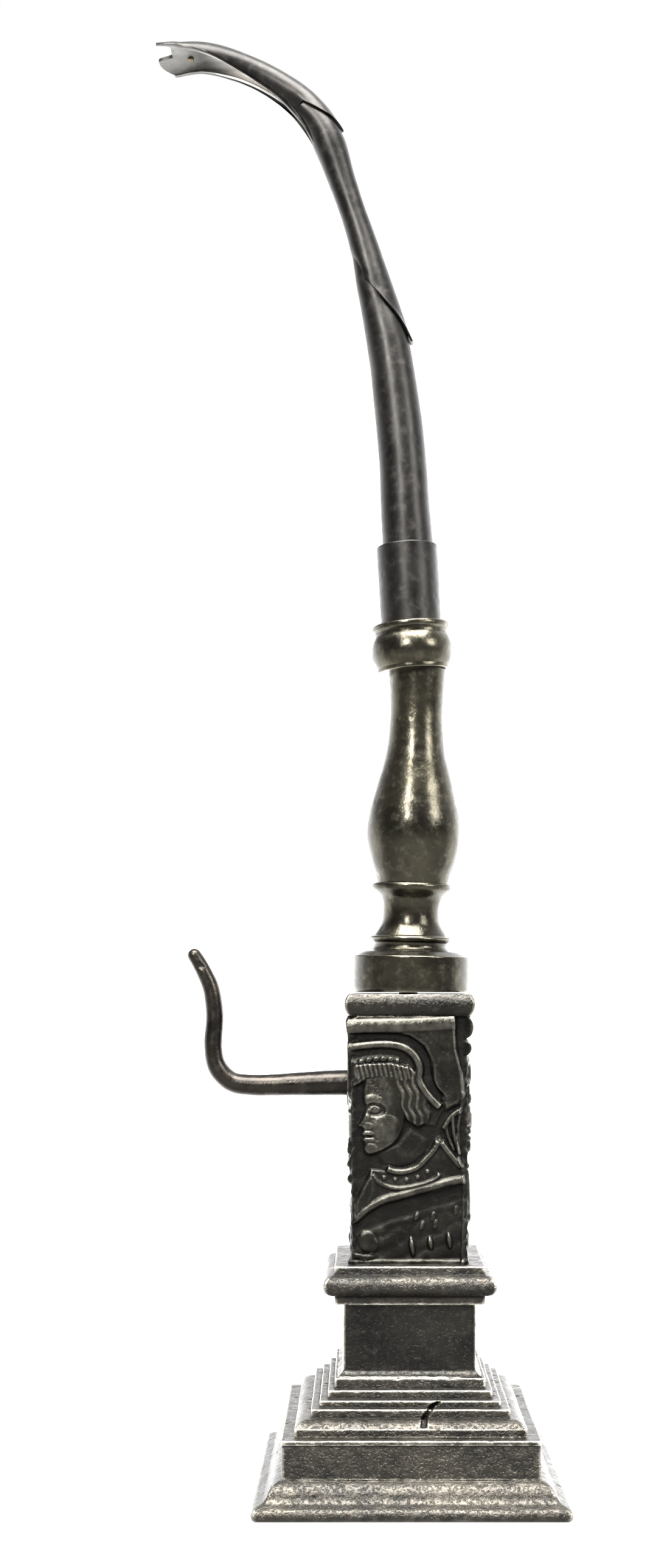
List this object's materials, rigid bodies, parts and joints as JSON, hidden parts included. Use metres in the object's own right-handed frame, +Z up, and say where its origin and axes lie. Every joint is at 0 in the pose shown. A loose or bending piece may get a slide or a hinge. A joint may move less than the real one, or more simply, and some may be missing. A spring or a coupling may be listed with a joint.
{
  "type": "ornamental hook stand",
  "caption": "Ornamental stand with a stepped square foot, a relief pillar with a J-hook, and a swivelling turned stem whose curved arm opens into a notched trough.",
  "frame": {"origin": "centre of the foot's underside, on the surface the stand rests on", "axes": "+Z up, -X towards the hook and the arm's tip at rest, -Y towards the viewer in front"},
  "size_m": [0.0833, 0.0622, 0.2994],
  "materials": {
    "cast_bronze": "dark patina",
    "arm_bronze": "dark patina, satin",
    "tinned_bronze": "dark outside, bright inside",
    "dark_rod": "dark satin",
    "steel": "satin",
    "bright_brass": "worn"
  },
  "bodies": {
    "stand": {"foot_moulding": "cast_bronze", "base_plate": "steel", "plate_screw_1": "steel", "plate_screw_2": "steel", "plate_screw_3": "steel", "plate_screw_4": "steel", "plinth_band": "cast_bronze", "stepped_cap": "cast_bronze", "dado_block": "cast_bronze", "cornice": "cast_bronze", "tie_rod": "steel", "tie_washer": "steel", "tie_nut_lower": "steel", "tie_nut_upper": "steel", "pillar_core": "cast_bronze", "relief_front": "cast_bronze", "relief_right": "cast_bronze", "relief_back": "cast_bronze", "relief_left": "cast_bronze", "pillar_cap": "cast_bronze", "pivot_bush": "bright_brass", "hook": "dark_rod", "hook_washer": "steel", "hook_nut": "steel"},
    "stem": {"swivel_disc": "cast_bronze", "stem_foot": "cast_bronze", "vase": "cast_bronze", "bead_collar": "cast_bronze", "socket": "cast_bronze", "arm_lower_tube": "arm_bronze", "arm_middle_tube": "arm_bronze", "arm_trough": "tinned_bronze", "trough_rivet": "bright_brass", "stem_spindle": "steel", "pivot_washer": "steel", "pivot_nut": "steel"}
  },
  "joints": [
    {"name": "stem_swivel", "type": "hinge", "parent": "stand", "child": "stem", "pos_m": [0, 0, 0.1014], "axis": [0, 0, 1], "continuous": true}
  ]
}
